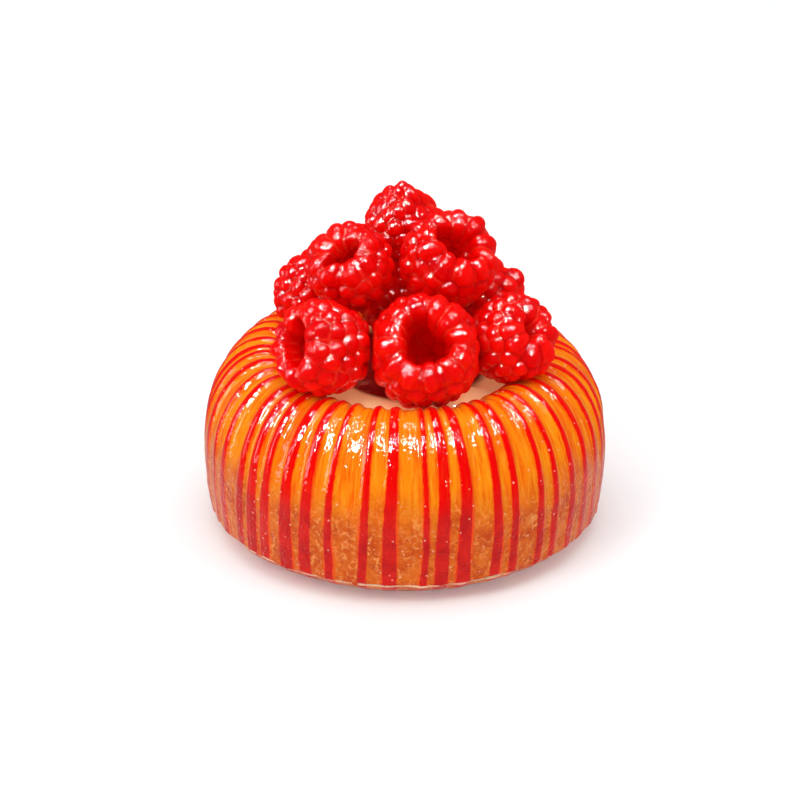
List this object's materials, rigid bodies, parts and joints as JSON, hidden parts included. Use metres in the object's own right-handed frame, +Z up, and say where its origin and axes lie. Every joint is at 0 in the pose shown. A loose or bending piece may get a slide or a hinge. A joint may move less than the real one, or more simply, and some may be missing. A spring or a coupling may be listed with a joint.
{
  "type": "berry croissant tart",
  "caption": "Round drum of striped two-colour croissant dough with a rounded rim, filled with pastry cream and topped with a pile of glazed red berries.",
  "frame": {"origin": "centre of the flat underside, on the surface the tart stands on", "axes": "+Z up through the middle of the tart; -Y towards the viewer of the picture; +X to the viewer's right"},
  "size_m": [0.0854, 0.0855, 0.0697],
  "materials": {
    "croissant_dough": "glazed golden orange dough with narrow bright red strips, paler and duller on the side",
    "cream": "smooth glossy pastry cream",
    "berry": "wet translucent red, glazed"
  },
  "bodies": {
    "root": {"croissant_ring": "croissant_dough", "pastry_cream": "cream", "berry_front": "berry", "berry_left": "berry", "berry_right": "berry", "berry_back_left": "berry", "berry_back_right": "berry", "berry_back": "berry", "berry_upper_left": "berry", "berry_upper_right": "berry", "berry_top": "berry"}
  },
  "joints": []
}
